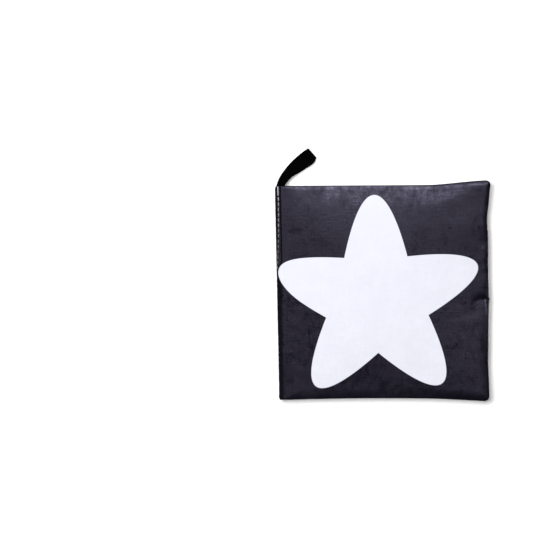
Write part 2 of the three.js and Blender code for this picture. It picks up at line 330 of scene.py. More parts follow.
def cloth_look(name, ground, shine, grain=1.0, gloss=0.5, figure=None, pattern=None):
    """Woven cotton, with a printed pattern where there is one."""
    look = Look(name)
    threads = weave(look.x, look.y, 0.42)
    slubs = (look.noise(0.9, 3.0, (1.0, 0.12, 1.0)) + look.noise(0.9, 3.0, (0.12, 1.0, 1.0))) * 0.5
    patches = look.noise(0.06, 3.0)
    smudges = look.noise(0.35, 2.0, (1.0, 0.6, 1.0))
    lint = look.noise(2.6, 2.0).between(0.16, 0.28)
    # Painted highlight: the cloth is painted lighter within the first millimetre or two of its sewn edges.
    painted_edge_highlight = look.attribute("edge").between(1.6, 0.2)
    base = look.shade(tuple(ground), 1 + slubs * (0.7 * grain) + patches * (0.35 * grain))
    base = look.mix(painted_edge_highlight * 0.35, base, look.shade(base, 1.6))
    base = look.mix(lint * (0.03 * grain), base, (0.5, 0.5, 0.52))
    rough = shine + (slubs * 0.45 + patches * 0.5 + smudges * 0.5) * grain
    if pattern:
        mask = pattern(look.attribute("print_x") + slubs * 0.25, look.y)
        printed = look.shade(tuple(figure), 1 + slubs * 0.06 + patches * 0.03)
        base = look.mix(mask, base, printed)
        rough = rough + mask * 0.12
    normal = look.bump(threads * 0.6 + slubs * 3.1, 0.00012, 0.4)
    return look.finish(base, rough, {"Normal": normal, "IOR": 1.8, "Specular IOR Level": gloss,
                                     "Specular Tint": (0.75, 0.7, 1.0)})


def cover_look(name, colours, figure=None, pattern=None):
    """The black cloth of the covers and of the spine."""
    return cloth_look(name, colours.cover, 0.45, gloss=1.0, figure=figure, pattern=pattern)


def page_look(name, colours, pattern):
    """The white cloth of a page and its black print."""
    return cloth_look(name, colours.page, 0.8, grain=0.2, figure=colours.print_black, pattern=pattern)


def thread_look(name, tone):
    """Twisted sewing thread."""
    look = Look(name)
    twist = (look.attribute("along") * 14.0).sine() * 0.5
    fuzz = look.noise(6.0, 2.0)
    # Painted shade: the thread is painted darker away from the head, where it sits deeper in the shade of the
    # spine. Near the head it keeps its full tone.
    painted_head_light = look.y.between(64.0, 78.0)
    base = look.shade(tuple(tone), (1 + fuzz * 0.35) * (0.46 + painted_head_light * 0.54))
    normal = look.bump(twist + fuzz, 0.00003, 0.5)
    return look.finish(base, 0.62 + fuzz * 0.3, {"Normal": normal, "Sheen Weight": 0.2})


def ribbon_look(name, tone):
    """Ribbed ribbon, with fine ribs across it and a firm edge."""
    look = Look(name)
    rib_pitch, warp_pitch = 0.55, 0.3
    across = look.attribute("across")
    ribs = (look.attribute("along") * (2 * math.pi / rib_pitch)).sine() * 0.5 + 0.5
    warps = (across * (2 * math.pi / warp_pitch)).sine() * 0.5 + 0.5
    firm = abs(across).between(4.2, 4.6)
    patches = look.noise(0.3, 2.0)
    # Painted shade: the colour follows the ribs, darker in the grooves between them and lighter on their
    # crests. The patches are random tone of the ribbon.
    base = look.shade(tuple(tone), 1 + (ribs - 0.5) * 0.5 + patches * 0.4)
    normal = look.bump(ribs * (1 - firm) + warps * 0.25 + firm, 0.00008, 0.5)
    return look.finish(base, 0.8 + patches * 0.2, {"Normal": normal, "Specular IOR Level": 0.05})


# Shapes

def ease(t):
    c = np.clip(t, 0.0, 1.0)
    return c * c * (3 - 2 * c)


def bulge(t):
    c = np.clip(t, 0.0, 1.0)
    return np.sqrt(1 - (1 - c) ** 2)


class LeafShape:
    """The form of the leaves about the hinge axis, in millimetres."""
    leaf_count = 4
    wrap_thickness = 0.55
    wrap_cloth = 0.5
    wrap_from = 64.0
    wrap_sweep = 232.0
    wrap_overhang = 0.25
    sewn_clearance = 0.15
    stitch_shift = 1.4
    neck_thickness = 0.8
    neck_clearance = 0.35
    neck_length = 4.0
    head_rise = 0.9
    foot_drop = 0.85
    foot_draw_in = 1.4
    fore_draw_in = 1.3
    head_corner_stretch = 3.3
    foot_corner_stretch = 0.9
    stretch_length = 48.0
    lap_rows = 20
    lap_short = 68.0
    lap_long = 128.0
    lap_low = 2.25
    lap_high = 2.6
    lap_from = 24.0
    lap_over = 8.0
    short_roll = 1.8
    long_roll = 3.8

    def __init__(self, scene):
        sizes, spine = scene.book_sizes, scene.spine_sizes
        self.width = sizes.page_width / MM
        self.height = sizes.page_height / MM
        self.thickness = sizes.leaf_thickness / MM
        self.gap = sizes.leaf_gap / MM
        self.crown = sizes.cover_crown / MM
        self.corner = sizes.corner_radius / MM
        self.rounding = sizes.edge_rounding / MM
        self.reach = sizes.inner_reach / MM
        self.pucker_depth = sizes.pucker_depth / MM
        self.pucker_width = sizes.pucker_width / MM
        self.radius = spine.bundle_radius / MM
        self.stitch_pitch = spine.stitch_pitch / MM
        hinge = frame["record"]["behaviour"]["joints"][0]
        self.lean = math.atan2(hinge["axis"][0], -hinge["axis"][1])
        self.axis = [place / MM for place in hinge["pos_m"]]
        self.start = self.radius + self.neck_clearance
        self.end = self.width - self.radius
        self.middle = self.end / 2

    def in_place(self, x, y, z):
        """Points given along and across the leaning spine, in the book's own frame."""
        turn, tilt = math.cos(self.lean), math.sin(self.lean)
        return np.stack([x * turn - y * tilt + self.axis[0], x * tilt + y * turn + self.axis[1],
                         z + self.axis[2]], axis=1)

    def thickness_at(self, d):
        share = ease((d - self.start) / self.neck_length)
        return self.neck_thickness + (self.thickness - self.neck_thickness) * share

    def level_at(self, leaf, d):
        return (leaf - (self.leaf_count - 1) / 2) * (self.thickness_at(d) + self.gap)

    def side_at(self, d, head):
        across = (d - self.middle) / self.middle
        tilt = d * math.sin(self.lean)
        head_side = self.head_rise * d / self.end - tilt
        foot_side = self.foot_drop - self.foot_draw_in * (1 - across ** 2) + tilt
        corner_stretch = np.where(head, self.head_corner_stretch, self.foot_corner_stretch)
        stretch = corner_stretch * ease((d - self.end + self.stretch_length) / self.stretch_length)
        into = np.clip(d - (self.end - self.corner), 0, self.corner) / self.corner
        rounded = self.corner * (1 - np.sqrt(1 - into ** 2))
        return self.height / 2 + np.where(head, head_side, foot_side) + stretch - rounded

    def fore_shift(self, d, y, s, reach):
        towards = ease((d - self.middle) / (self.end - self.middle))
        return towards * (reach * (1 - s ** 4) - self.fore_draw_in * (1 - s ** 2) + y * math.sin(self.lean))

    def roll_at(self, d, plateau, lap_end, pulled):
        """Height of the front cover where it rolls down at its left to the end of its lap."""
        left = self.lap_high * np.cos(np.radians(lap_end))
        low = self.lap_high * np.sin(np.radians(lap_end))
        reach = self.short_roll + (self.long_roll - self.short_roll) * pulled
        return low + (plateau - low) * bulge((d - left) / reach)

    def neck_start(self, leaf):
        nearest = max(0.0, abs(float(self.level_at(leaf, self.start))) - self.neck_thickness / 2)
        return math.sqrt(self.start ** 2 - nearest ** 2)

    def crown_at(self, d, s):
        across = (d - self.middle) / self.middle
        return self.crown * (1 - across ** 2) * (1 - s ** 2)


def cubic_weights(places, knots):
    """Weights that read a value between even knots on a smooth curve."""
    step = knots[1] - knots[0]
    at = np.clip((places - knots[0]) / step, 0, len(knots) - 1.000001)
    base = np.floor(at).astype(int)
    t = at - base
    shares = [-0.5 * t + t ** 2 - 0.5 * t ** 3, 1 - 2.5 * t ** 2 + 1.5 * t ** 3,
              0.5 * t + 2 * t ** 2 - 1.5 * t ** 3, -0.5 * t ** 2 + 0.5 * t ** 3]
    weights = np.zeros((len(places), len(knots)))
    for k, share in enumerate(shares):
        index = np.clip(base + k - 1, 0, len(knots) - 1)
        np.add.at(weights, (np.arange(len(places)), index), share)
    return weights


def graded(stretches):
    """Places along a line whose stretches each have their own spacing."""
    places = [stretches[0][0]]
    for low, high, spacing in stretches:
        count = max(1, round((high - low) / spacing))
        places += [low + (high - low) * (i + 1) / count for i in range(count)]
    return np.array(places)


def new_object(name, mesh):
    piece = bpy.data.objects.new(name, mesh)
    bpy.context.scene.collection.objects.link(piece)
    return piece


def dress(piece, upper, under=None):
    """Gives a piece the material of its upper side and that of its under side."""
    piece.data.materials.append(upper)
    piece.data.materials.append(under or upper)


def mesh_of(name, shell):
    mesh = bpy.data.meshes.new(name)
    shell.to_mesh(mesh)
    shell.free()
    return mesh


def closed_mesh(name, shell):
    """The mesh of a closed shell, smooth and with its faces turned outwards."""
    bmesh.ops.recalc_face_normals(shell, faces=shell.faces[:])
    for face in shell.faces:
        face.smooth = True
    return mesh_of(name, shell)


def shell_mesh(name, rows, columns, shape, rims=(0.5,)):
    """A closed shell from a grid with two sides.

    shape(row, column, side) gives the points, where side runs from 0 on the under side to 1 on the upper one.
    """
    shell = bmesh.new()
    bmesh.ops.create_grid(shell, x_segments=rows - 1, y_segments=columns - 1, size=0.5)
    bmesh.ops.solidify(shell, geom=shell.faces[:], thickness=0.1)
    heights = [v.co.z for v in shell.verts]
    low, high = min(heights), max(heights)
    for share in rims:
        level = low + (high - low) * share
        bmesh.ops.bisect_plane(shell, geom=shell.verts[:] + shell.edges[:] + shell.faces[:], dist=1e-6,
                               plane_co=(0, 0, level), plane_no=(0, 0, 1))
    spots = np.array([v.co[:] for v in shell.verts])
    row = (spots[:, 0] + 0.5) * (rows - 1)
    column = (spots[:, 1] + 0.5) * (columns - 1)
    side = (spots[:, 2] - low) / (high - low)
    points = shape(row, column, side) * MM
    shell.faces.ensure_lookup_table()
    upper = [sum(side[v.index] for v in f.verts) / len(f.verts) > 0.5 for f in shell.faces]
    for v, point in zip(shell.verts, points):
        v.co = point
    for face, is_upper in zip(shell.faces, upper):
        face.material_index = 0 if is_upper else 1
    return closed_mesh(name, shell), row, column, side


def add_attribute(mesh, name, values):
    layer = mesh.attributes.new(name, "FLOAT", "POINT")
    layer.data.foreach_set("value", np.asarray(values, dtype=np.float32))


def run_along(points):
    """How far along a line each of its points lies."""
    return np.concatenate([[0], np.cumsum(np.linalg.norm(np.diff(points, axis=0), axis=1))])


# Folds in the cloth

def simulated_swell(form):
    """The swell and wrinkles that the cover's cloth takes over its padding, in millimetres.

    A large copy of the cover is blown up a little with its sewn edges held.
    """
    count, last_step = 61, 24
    rows = np.linspace(form.start + 3.0, form.end, count)
    shares = np.linspace(-1, 1, count)
    # Metres of the copy for each millimetre of the book
    scale = 0.01
    seam, loft, rounding = 0.4, 6.0, 14.0

    def shape(row, column, side):
        d = np.interp(row, np.arange(count), rows)
        s = np.interp(column, np.arange(count), shares)
        side_length = form.side_at(d, s > 0)
        y = s * side_length
        from_edge = np.minimum.reduce([side_length - abs(y), form.end - d, d - rows[0]])
        thick = seam + loft * bulge(from_edge / rounding)
        return np.stack([d, y, thick * (side - 0.5)], axis=1) * scale / MM

    mesh, row, column, side = shell_mesh("cover_swell", count, count, shape, rims=())
    pad = new_object("cover_swell", mesh)
    held = pad.vertex_groups.new(name="held")
    edge = (row < 0.5) | (row > count - 1.5) | (column < 0.5) | (column > count - 1.5) | (side < 0.5)
    held.add([int(i) for i in np.nonzero(edge)[0]], 1.0, "REPLACE")
    cloth = pad.modifiers.new("swell", "CLOTH")
    handling = {"quality": 6, "mass": 0.25, "tension_stiffness": 18, "compression_stiffness": 18,
                "shear_stiffness": 6, "bending_stiffness": 0.6, "vertex_group_mass": "held",
                "use_pressure": True, "uniform_pressure_force": 1.2, "shrink_min": -0.03}
    for key, value in handling.items():
        setattr(cloth.settings, key, value)
    cloth.settings.effector_weights.gravity = 0.0
    cloth.collision_settings.use_collision = False
    cloth.collision_settings.use_self_collision = False
    scene = bpy.context.scene
    before = np.array([v.co[:] for v in mesh.vertices])
    for step in range(1, last_step + 1):
        scene.frame_set(step)
    seen = pad.evaluated_get(bpy.context.evaluated_depsgraph_get())
    after = np.array([v.co[:] for v in seen.data.vertices])
    scene.frame_set(1)
    rise = (after - before)[:, 2] / scale
    swell = np.zeros((count, count))
    top = side > 0.5
    swell[np.round(row[top]).astype(int), np.round(column[top]).astype(int)] = rise[top]
    bpy.data.objects.remove(pad)
    bpy.data.meshes.remove(mesh)
    return rows, shares, swell


def fold_line(x, y, start, end):
    """How far along a line a place lies, from 0 at its start to 1 at its end, and how far to its left."""
    along = np.array([end[0] - start[0], end[1] - start[1]], dtype=float)
    run = np.linalg.norm(along)
    along /= run
    share = ((x - start[0]) * along[0] + (y - start[1]) * along[1]) / run
    return share, (x - start[0]) * -along[1] + (y - start[1]) * along[0]


def valley(x, y, start, end, left_width, right_width, depth):
    """A fold into the cloth that is deepest at its start and fades out at its end."""
    share, off = fold_line(x, y, start, end)
    width = np.where(off > 0, left_width, right_width)
    return -depth * np.exp(-(off / width) ** 2) * (1 - ease(share)) * ease((share + 0.3) / 0.3)


def hump(place, middle, width):
    return np.exp(-((place - middle) / width) ** 2)


def cover_folds(x, y):
    """Folds of the front cover that its corner and its fore-edge pull into the cloth."""
    past_crest = y - 66.0 - 14.0 * np.exp(-((78.0 - x) / 27.0) ** 2)
    beyond = np.clip(past_crest, 0, None)
    fall = np.minimum(0.03 * beyond + 0.0026 * beyond ** 2, 1.0)
    crest = 0.3 * np.exp(-(past_crest / 9.0) ** 2) + 0.7 * ease((y - 14.0) / 50.0) - fall
    right = ease((x + 8.0) / 66.0)
    head_fall = 0.65 * np.clip((y - 63.0) / 17.0, 0, None) ** 2 * ease((x + 80.0) / 22.0)
    folds = crest * right - head_fall * (1 - right)
    folds += valley(x, y, (81.0, 37.8), (69.0, 36.8), 4.5, 7.0, 0.9)
    folds += 0.4 * hump(x, 62.0, 9.0) * hump(y, 48.0, 16.0)
    for middle, across, top, upper, lower, rise in ((-44.0, 22.0, 45.0, 32.0, 13.0, 0.4),
                                                    (30.0, 13.0, 53.0, 32.0, 13.0, 0.4),
                                                    (67.0, 15.0, -24.0, 10.0, 50.0, 0.5)):
        folds += rise * hump(x, middle, across) * hump(y, top, np.where(y > top, upper, lower))
    folds += 2.0 * (1 - ease((y + 84.0) / 76.0)) * ease((x - 20.0) / 35.0)
    return folds


def pinched_crease(x, y):
    """The short crease that runs in from the fore-edge, steep above and broad below."""
    off = y + 4.8 + 0.08 * np.clip(73.5 - x, 0, None) ** 2
    fade = np.exp(-np.hypot(off, 0.3) / np.where(off > 0, 2.6, 6.5))
    return -2.5 * fade * (1 - ease((77.0 - x) / 13.0)) * ease((85.0 - x) / 4.0)


def fore_wander(y):
    """How far the fore-edge of the leaves wanders out and in along its length."""
    bends = ((1.0, 82.0, 9.0), (-1.2, 52.0, 10.5), (0.65, -9.0, 17.0), (-0.5, -57.0, 10.0))
    return sum(out * hump(y, middle, width) for out, middle, width in bends)


def seam_gathers(along, from_edge, width, depth, seed):
    """Gathers that run in from a sewn edge and fade over the first centimetre."""
    wander = 1.3 * np.sin(along * 0.11 + seed) + 0.9 * np.sin(along * 0.23 + 2.1 * seed)
    wave = np.sin((along + wander) * 2 * math.pi / width + seed)
    strength = 0.55 + 0.45 * np.sin(along * 0.057 + 1.7 * seed)
    return depth * wave * strength * ease(from_edge / 1.2) * (1 - ease((from_edge - 1.5) / 9.0))


# Leaves

def make_leaf(name, leaf, form, swell=None):
    """One padded leaf: a closed cushion from its neck at the spine to its three sewn edges."""
    front = leaf == form.leaf_count - 1
    start = form.neck_start(leaf)
    neck_end = form.start + form.neck_length
    d_places = graded([(start, start + 0.8, 0.08), (start + 0.8, neck_end, 0.35),
                       (neck_end, form.end - form.rounding, 0.85),
                       (form.end - form.rounding, form.end - 1.2, 0.4), (form.end - 1.2, form.end, 0.12)])
    s_places = graded([(-80.0, -78.8, 0.2), (-78.8, -72.0, 0.45), (-72.0, 72.0, 0.7),
                       (72.0, 78.8, 0.45), (78.8, 80.0, 0.2)]) / 80.0
    lap_rows = form.lap_rows if front else 0
    rows, columns = len(d_places) + lap_rows, len(s_places)
    reach = form.reach if 0 < leaf < form.leaf_count - 1 else 0.0
    depth, pitch = form.pucker_depth, form.pucker_width
    seam = form.neck_thickness / 2
    plateau = float(form.level_at(leaf, form.middle)) + form.thickness / 2
    if front:
        swell_rows, swell_shares, swell_grid = swell
        soft = cubic_weights(np.clip(d_places, swell_rows[0], swell_rows[-1]), swell_rows) @ swell_grid
        soft = soft @ cubic_weights(s_places, swell_shares).T

    def leaf_place(row, column):
        d = np.interp(np.clip(row - lap_rows, 0, None), np.arange(len(d_places)), d_places)
        return d, np.interp(column, np.arange(columns), s_places)

    def shape(row, column, side):
        d, s = leaf_place(row, column)
        side_length = form.side_at(d, s > 0)
        y = s * side_length
        x = d + form.fore_shift(d, y, s, reach) + fore_wander(y) * ease((d - form.end + 30.0) / 30.0)
        if front:
            nub = 0.7 * hump(y, -8.3, 1.2)
            x = x + nub * ease((d - form.end + 5.0) / 5.0)
        from_side = side_length - abs(y)
        from_fore = form.end - d
        from_edge = np.minimum(from_side, from_fore)
        level = form.level_at(leaf, d)
        rounding = form.rounding * (0.15 + 0.85 * ease((d - 1.0) / 16.0)) * np.where(s > 0, 0.5, 1.0)
        cushion = bulge(from_edge / rounding)
        half = seam + (form.thickness_at(d) / 2 - seam) * cushion
        gathers = seam_gathers(x, from_side, pitch, depth, leaf + np.where(s > 0, 0.3, 1.9))
        gathers += seam_gathers(y, from_fore, pitch * 1.15, depth * 1.2, leaf + 0.8)
        gathers *= ease((d - form.start - 2.0) / 6.0)
        inner = ease((from_edge - 3.0) / 5.0)
        bottom = level - half
        if leaf > 0:
            bottom = bottom + np.where(gathers > 0, gathers, gathers * (1 - inner))
        if front:
            row_in = np.round(np.clip(row - lap_rows, 0, None)).astype(int)
            swelling = soft[row_in, np.round(column).astype(int)]
            swelling = swelling * ease((d - form.start - 3.0) / 6.0) * ease(from_edge / 3.0)
            placed_x, placed_y = form.in_place(x, y, x * 0)[:, :2].T
            pulled = ease((form.lap_from - y) / form.lap_over)
            lap_end = form.lap_short + (form.lap_long - form.lap_short) * pulled
            profile = form.roll_at(d, plateau, lap_end, pulled)
            folds = cover_folds(placed_x, placed_y) * ease((d - form.start - 4.0) / 8.0)
            folds += form.crown_at(d, s) + np.clip(0.06 * swelling, -0.6, 0.8)
            top = level + seam + np.maximum(profile - level - seam + folds, 0.3) * cushion + 0.2 * gathers
            top += pinched_crease(placed_x, placed_y) * ease(from_edge / 2.5)
        else:
            top = level + half + np.where(gathers > 0, gathers * (1 - inner), gathers)
        tuck = np.where((side > 0.2) & (side < 0.8) & (from_edge < 0.02), 0.22, 0.0)
        x = x - np.where(from_fore < from_side + 0.01, tuck, 0.0)
        y = y - np.where(from_side <= from_fore, tuck, 0.0) * np.sign(y)
        bottom_x = top_x = x
        if front:
            first = row < lap_rows
            share = np.clip(1 - row / lap_rows, 0, 1)
            angle = np.degrees(np.arctan2(bottom, x))
            angle = np.radians(angle + (lap_end - angle) * share)
            reached = np.hypot(x, bottom) + (form.lap_low - np.hypot(x, bottom)) * ease(3 * share)
            left = form.lap_high * np.cos(np.radians(lap_end))
            roll_x = left + (start - left) * (1 - share) ** 1.8
            arc_z = np.sqrt(form.lap_high ** 2 - np.minimum(roll_x, 2.4) ** 2)
            roll_z = arc_z + np.maximum(form.roll_at(roll_x, plateau, lap_end, pulled) - arc_z, 0.0) * cushion
            bottom_x = np.where(first, reached * np.cos(angle), x)
            bottom = np.where(first, reached * np.sin(angle), bottom)
            top_x, top = np.where(first, roll_x, x), np.where(first, roll_z, top)
        return form.in_place(bottom_x + (top_x - bottom_x) * side, y, bottom + (top - bottom) * side)

    mesh, row, column, side = shell_mesh(name, rows, columns, shape)
    d, s = leaf_place(row, column)
    add_attribute(mesh, "edge", np.minimum(form.side_at(d, s > 0) * (1 - abs(s)), form.end - d))
    place = np.array([v.co.x for v in mesh.vertices]) / MM
    if front:
        rolled = np.clip((form.axis[0] + 17.7 - place) / 18.0, 0, None)
        place = place - 2.9 * rolled ** 2
    add_attribute(mesh, "print_x", place)
    return new_object(name, mesh)


class BOOK_OT_front_cover(bpy.types.Operator):
    """Make the padded front cover, printed with a star, which laps over the spine"""
    bl_idname = "book.front_cover"
    bl_label = "Front cover"

    def execute(self, context):
        form, colours = LeafShape(context.scene), context.scene.book_colours
        cover = make_leaf("front_cover_pad", 3, form, simulated_swell(form))
        dress(cover, cover_look("cover_cloth_star", colours, colours.star, star_print),
              page_look("page_cloth_rings", colours, rings_print))
        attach(cover, "front_cover")
        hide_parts("front_cover_outer_cloth", "front_cover_inner_cloth", "front_cover_padding",
                    "front_cover_crinkle_film")
        return {"FINISHED"}


class BOOK_OT_leaves(bpy.types.Operator):
    """Make the two padded inner leaves and the padded back cover"""
    bl_idname = "book.leaves"
    bl_label = "Inner leaves and back cover"

    def execute(self, context):
        form, colours = LeafShape(context.scene), context.scene.book_colours
        prints = {
            "leaf_1": (2, bars_print, checks_print, "page_cloth"),
            "leaf_2": (1, dots_print, zigzag_print, "page_cloth"),
            "back_cover": (0, diamonds_print, None, "black_cloth"),
        }
        for body, (leaf, upper, lower, slot) in prints.items():
            pad = make_leaf(body + "_pad", leaf, form)
            page = page_look(body + "_cloth_front", colours, upper)
            if lower:
                dress(pad, page, page_look(body + "_cloth_back", colours, lower))
                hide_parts(body + "_front_cloth", body + "_back_cloth", body + "_padding")
            else:
                dress(pad, page, cover_look("cover_cloth_plain", colours))
                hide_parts(body + "_inner_cloth", body + "_outer_cloth", body + "_padding",
                            body + "_crinkle_film")
            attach(pad, body)
        return {"FINISHED"}


# Spine, stitches and ribbon

class BOOK_OT_spine(bpy.types.Operator):
    """Make the strip of cover cloth that wraps the sewn edges"""
    bl_idname = "book.spine"
    bl_label = "Spine wrap"

    def execute(self, context):
        form = LeafShape(context.scene)
        rows, columns = 65, 401
        half = form.height / 2 + form.wrap_overhang
        foot_swelling = 0.3

        def shape(row, column, side):
            around = np.radians(form.wrap_from + form.wrap_sweep * row / (rows - 1))
            y = -half + 2 * half * column / (columns - 1)
            end = ease((abs(y) - half + 2.2) / 2.2)
            swollen = foot_swelling * hump(y, 1.8 - half, 1.7) * ease(-np.cos(around) + 0.6)
            radius = form.radius + 0.04 * np.sin(y * 0.7 + 3 * around) * side - 0.5 * end ** 3 + swollen
            seam = np.abs(around - np.radians(stitch_angle(y, 1)))
            back_seam = np.abs(around - np.radians(stitch_angle(y, -1)))
            pulled = np.exp(-(np.minimum(seam, back_seam) / 0.2) ** 2)
            stitch = (y + form.stitch_shift) / form.stitch_pitch + 0.5
            dip = 0.26 + 0.18 * np.cos(stitch * 2 * math.pi)
            radius = radius - pulled * dip * side - form.wrap_cloth * (1 - side)
            corner = np.clip((y - half + 4.0) / 4.0, 0, 1)
            x = radius * np.cos(around)
            x = np.where(x < 0, x * (1 - 0.55 * (1 - np.sqrt(1 - corner ** 2))), x)
            return form.in_place(x, y, radius * np.sin(around))

        mesh, row, column, side = shell_mesh("spine_cloth", rows, columns, shape, rims=())
        add_attribute(mesh, "edge", 80.0 * (1 - abs(column / (columns - 1) * 2 - 1)))
        wrap = new_object("spine_cloth", mesh)
        dress(wrap, cover_look("spine_cloth", context.scene.book_colours))
        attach(wrap, "back_cover")
        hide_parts("spine_wrap")
        return {"FINISHED"}


class BOOK_OT_sewn_edges(bpy.types.Operator):
    """Make the four sewn edges that lie on each other in the wrap, each of two cloths pressed flat"""
    bl_idname = "book.sewn_edges"
    bl_label = "Sewn edges"

    def execute(self, context):
        form = LeafShape(context.scene)
        raw = cloth_look("raw_cloth_edge", context.scene.book_colours.lining, 0.85, grain=0.4)
        half = form.height / 2
        y_places = graded([(-half, 1.5 - half, 0.12), (1.5 - half, half - 1.5, 0.8),
                           (half - 1.5, half, 0.12)])
        rows, columns = 15, len(y_places)
        inner = form.radius - form.wrap_thickness - form.sewn_clearance
        pitch = 2 * (inner - form.sewn_clearance / 2) / form.leaf_count
        thickness = pitch - form.sewn_clearance
        rims = (0.12, 0.25, 0.5, 0.75, 0.88)
        drawn_in = (0.14, 0.03, 0.0, 0.3, 0.0, 0.03, 0.14)

        for leaf, body in enumerate(("back_cover", "leaf_2", "leaf_1", "front_cover")):
            middle = (leaf - (form.leaf_count - 1) / 2) * pitch

            def shape(row, column, side):
                z = middle + thickness * (side - 0.5)
                left, right = -np.sqrt(inner ** 2 - z ** 2), np.sqrt(form.radius ** 2 - z ** 2)
                x = left + (right - left) * row / (rows - 1)
                y = np.interp(column, np.arange(columns), y_places)
                groove = np.interp(side, (0.0, *rims, 1.0), drawn_in)
                x = x + np.where(row < 0.5, groove, 0.0)
                at_end = (column < 0.5) | (column > columns - 1.5)
                pulled_in = 0.2 + 0.12 * np.sin(2.6 * x + 1.9 * leaf) + 0.1 * np.sin(5.1 * leaf + np.sign(y))
                pulled_in = pulled_in + 0.12 * np.where(side > 0.5, 1.0, -1.0) * np.sin(1.3 * x + leaf)
                near_end = ease((abs(y) - half + 1.5) / 1.5)
                y = y - np.sign(y) * (np.where(at_end, groove, 0.0) + near_end * pulled_in)
                z = z + 0.03 * np.sin(1.1 * y + 2 * leaf + x)
                return form.in_place(x, y, z)

            mesh, row, column, side = shell_mesh(body + "_edge", rows, columns, shape, rims)
            places = np.array([v.co.y for v in mesh.vertices]) / MM
            add_attribute(mesh, "edge", half - abs(places - form.axis[1]))
            edge = new_object(body + "_edge", mesh)
            dress(edge, raw)
            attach(edge, "back_cover")
            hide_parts(body + "_sewn_edge")
        return {"FINISHED"}


def stitch_angle(y, side):
    """The angle of a row of stitches round the spine: the front row turns under towards the foot."""
    if side < 0:
        return np.full_like(y, 270.0)
    return 76.0 + 10.0 * ease((y - 68.0) / 10.0) + 64.0 * ease((60.0 - y) / 56.0)


def tube_mesh(name, path, sides, radius_at):
    """A round thread along a path."""
    rows = len(path)
    tube = bmesh.new()
    bmesh.ops.create_grid(tube, x_segments=rows - 1, y_segments=sides, size=0.5)
    spots = np.array([v.co[:] for v in tube.verts])
    row = np.round((spots[:, 0] + 0.5) * (rows - 1)).astype(int)
    around = (spots[:, 1] + 0.5) * 2 * math.pi
    run = run_along(path)
    tangent = np.gradient(path, axis=0)
    tangent /= np.linalg.norm(tangent, axis=1)[:, None]
    upward = np.cross(tangent, (1.0, 0.0, 0.0))
    upward /= np.linalg.norm(upward, axis=1)[:, None]
    sideways = np.cross(upward, tangent)
    radius = radius_at(run[row], around)
    points = path[row] + sideways[row] * (radius * np.cos(around))[:, None] \
        + upward[row] * (radius * np.sin(around))[:, None]
    for v, point in zip(tube.verts, points):
        v.co = point * MM
    along = tube.verts.layers.float.new("along")
    for v, place in zip(tube.verts, run[row]):
        v[along] = place
    bmesh.ops.remove_doubles(tube, verts=tube.verts[:], dist=1e-6)
    bmesh.ops.holes_fill(tube, edges=tube.edges[:], sides=sides + 1)
    return closed_mesh(name, tube)


class BOOK_OT_stitches(bpy.types.Operator):
    """Sew the needle thread on the front of the spine and the bobbin thread on its back"""
    bl_idname = "book.stitches"
    bl_label = "Stitches"

    def execute(self, context):
        form, spine = LeafShape(context.scene), context.scene.spine_sizes
        pitch, plies = form.stitch_pitch, spine.thread_plies
        thick = spine.thread_diameter / MM
        count = int(form.height // pitch)
        holes = [(i - (count - 1) / 2) * pitch - form.stitch_shift for i in range(count)]
        ends = [-form.height / 2 + 0.4] + holes[:-1] + [form.height / 2 - 0.2]
        top, deep = form.radius + 0.14 - thick / 2, form.radius - 0.85
        finish = thread_look("sewing_thread", context.scene.book_colours.thread)

        def radius_at(run, around):
            first = 1 + 0.75 * ease((run - form.height + 7.6) / 1.2)
            return thick / 2 * first * (0.9 + 0.12 * np.cos(plies * around - run * 2 * math.pi / 0.45))

        def rise_at(from_hole, hole):
            return float(ease((from_hole - 0.45) / 0.7)) if hole in holes else 1.0

        stitch_rows = (("front_stitches", 1, "needle_thread"), ("back_stitches", -1, "bobbin_thread"))
        for name, side, node in stitch_rows:
            path = []
            for first, last in zip(ends[:-1], ends[1:]):
                for t in np.linspace(0, 1, 22)[:-1]:
                    rise = min(rise_at(t * (last - first), first), rise_at((1 - t) * (last - first), last))
                    y = first + (last - first) * t
                    radius = deep + (top - deep) * rise + 0.05 * math.sin(math.pi * t)
                    angle = math.radians(float(stitch_angle(np.array(y), side)) + 4.0 * math.sin(first * 1.7))
                    path.append((radius * math.cos(angle), y, radius * math.sin(angle)))
            path = form.in_place(*np.array(path).T)
            mesh = tube_mesh(name, path, 8, radius_at)
            thread = new_object(name, mesh)
            thread.data.materials.append(finish)
            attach(thread, "back_cover")
            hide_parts(node)
        return {"FINISHED"}


def smooth_path(points, count):
    """Points of one smooth curve through the given points."""
    points = np.array(points, dtype=float)
    gaps = np.concatenate([[0], np.cumsum(np.linalg.norm(np.diff(points, axis=0), axis=1) ** 0.5)])
    slopes = np.zeros_like(points)
    for i in range(len(points)):
        before, after = max(0, i - 1), min(len(points) - 1, i + 1)
        slopes[i] = (points[after] - points[before]) / (gaps[after] - gaps[before])
    places = np.linspace(0, gaps[-1], count)
    index = np.clip(np.searchsorted(gaps, places, side="right") - 1, 0, len(points) - 2)
    width = (gaps[index + 1] - gaps[index])[:, None]
    t = ((places - gaps[index]) / width[:, 0])[:, None]
    return ((1 + 2 * t) * (1 - t) ** 2 * points[index] + t * (1 - t) ** 2 * width * slopes[index]
            + t ** 2 * (3 - 2 * t) * points[index + 1] + t ** 2 * (t - 1) * width * slopes[index + 1])


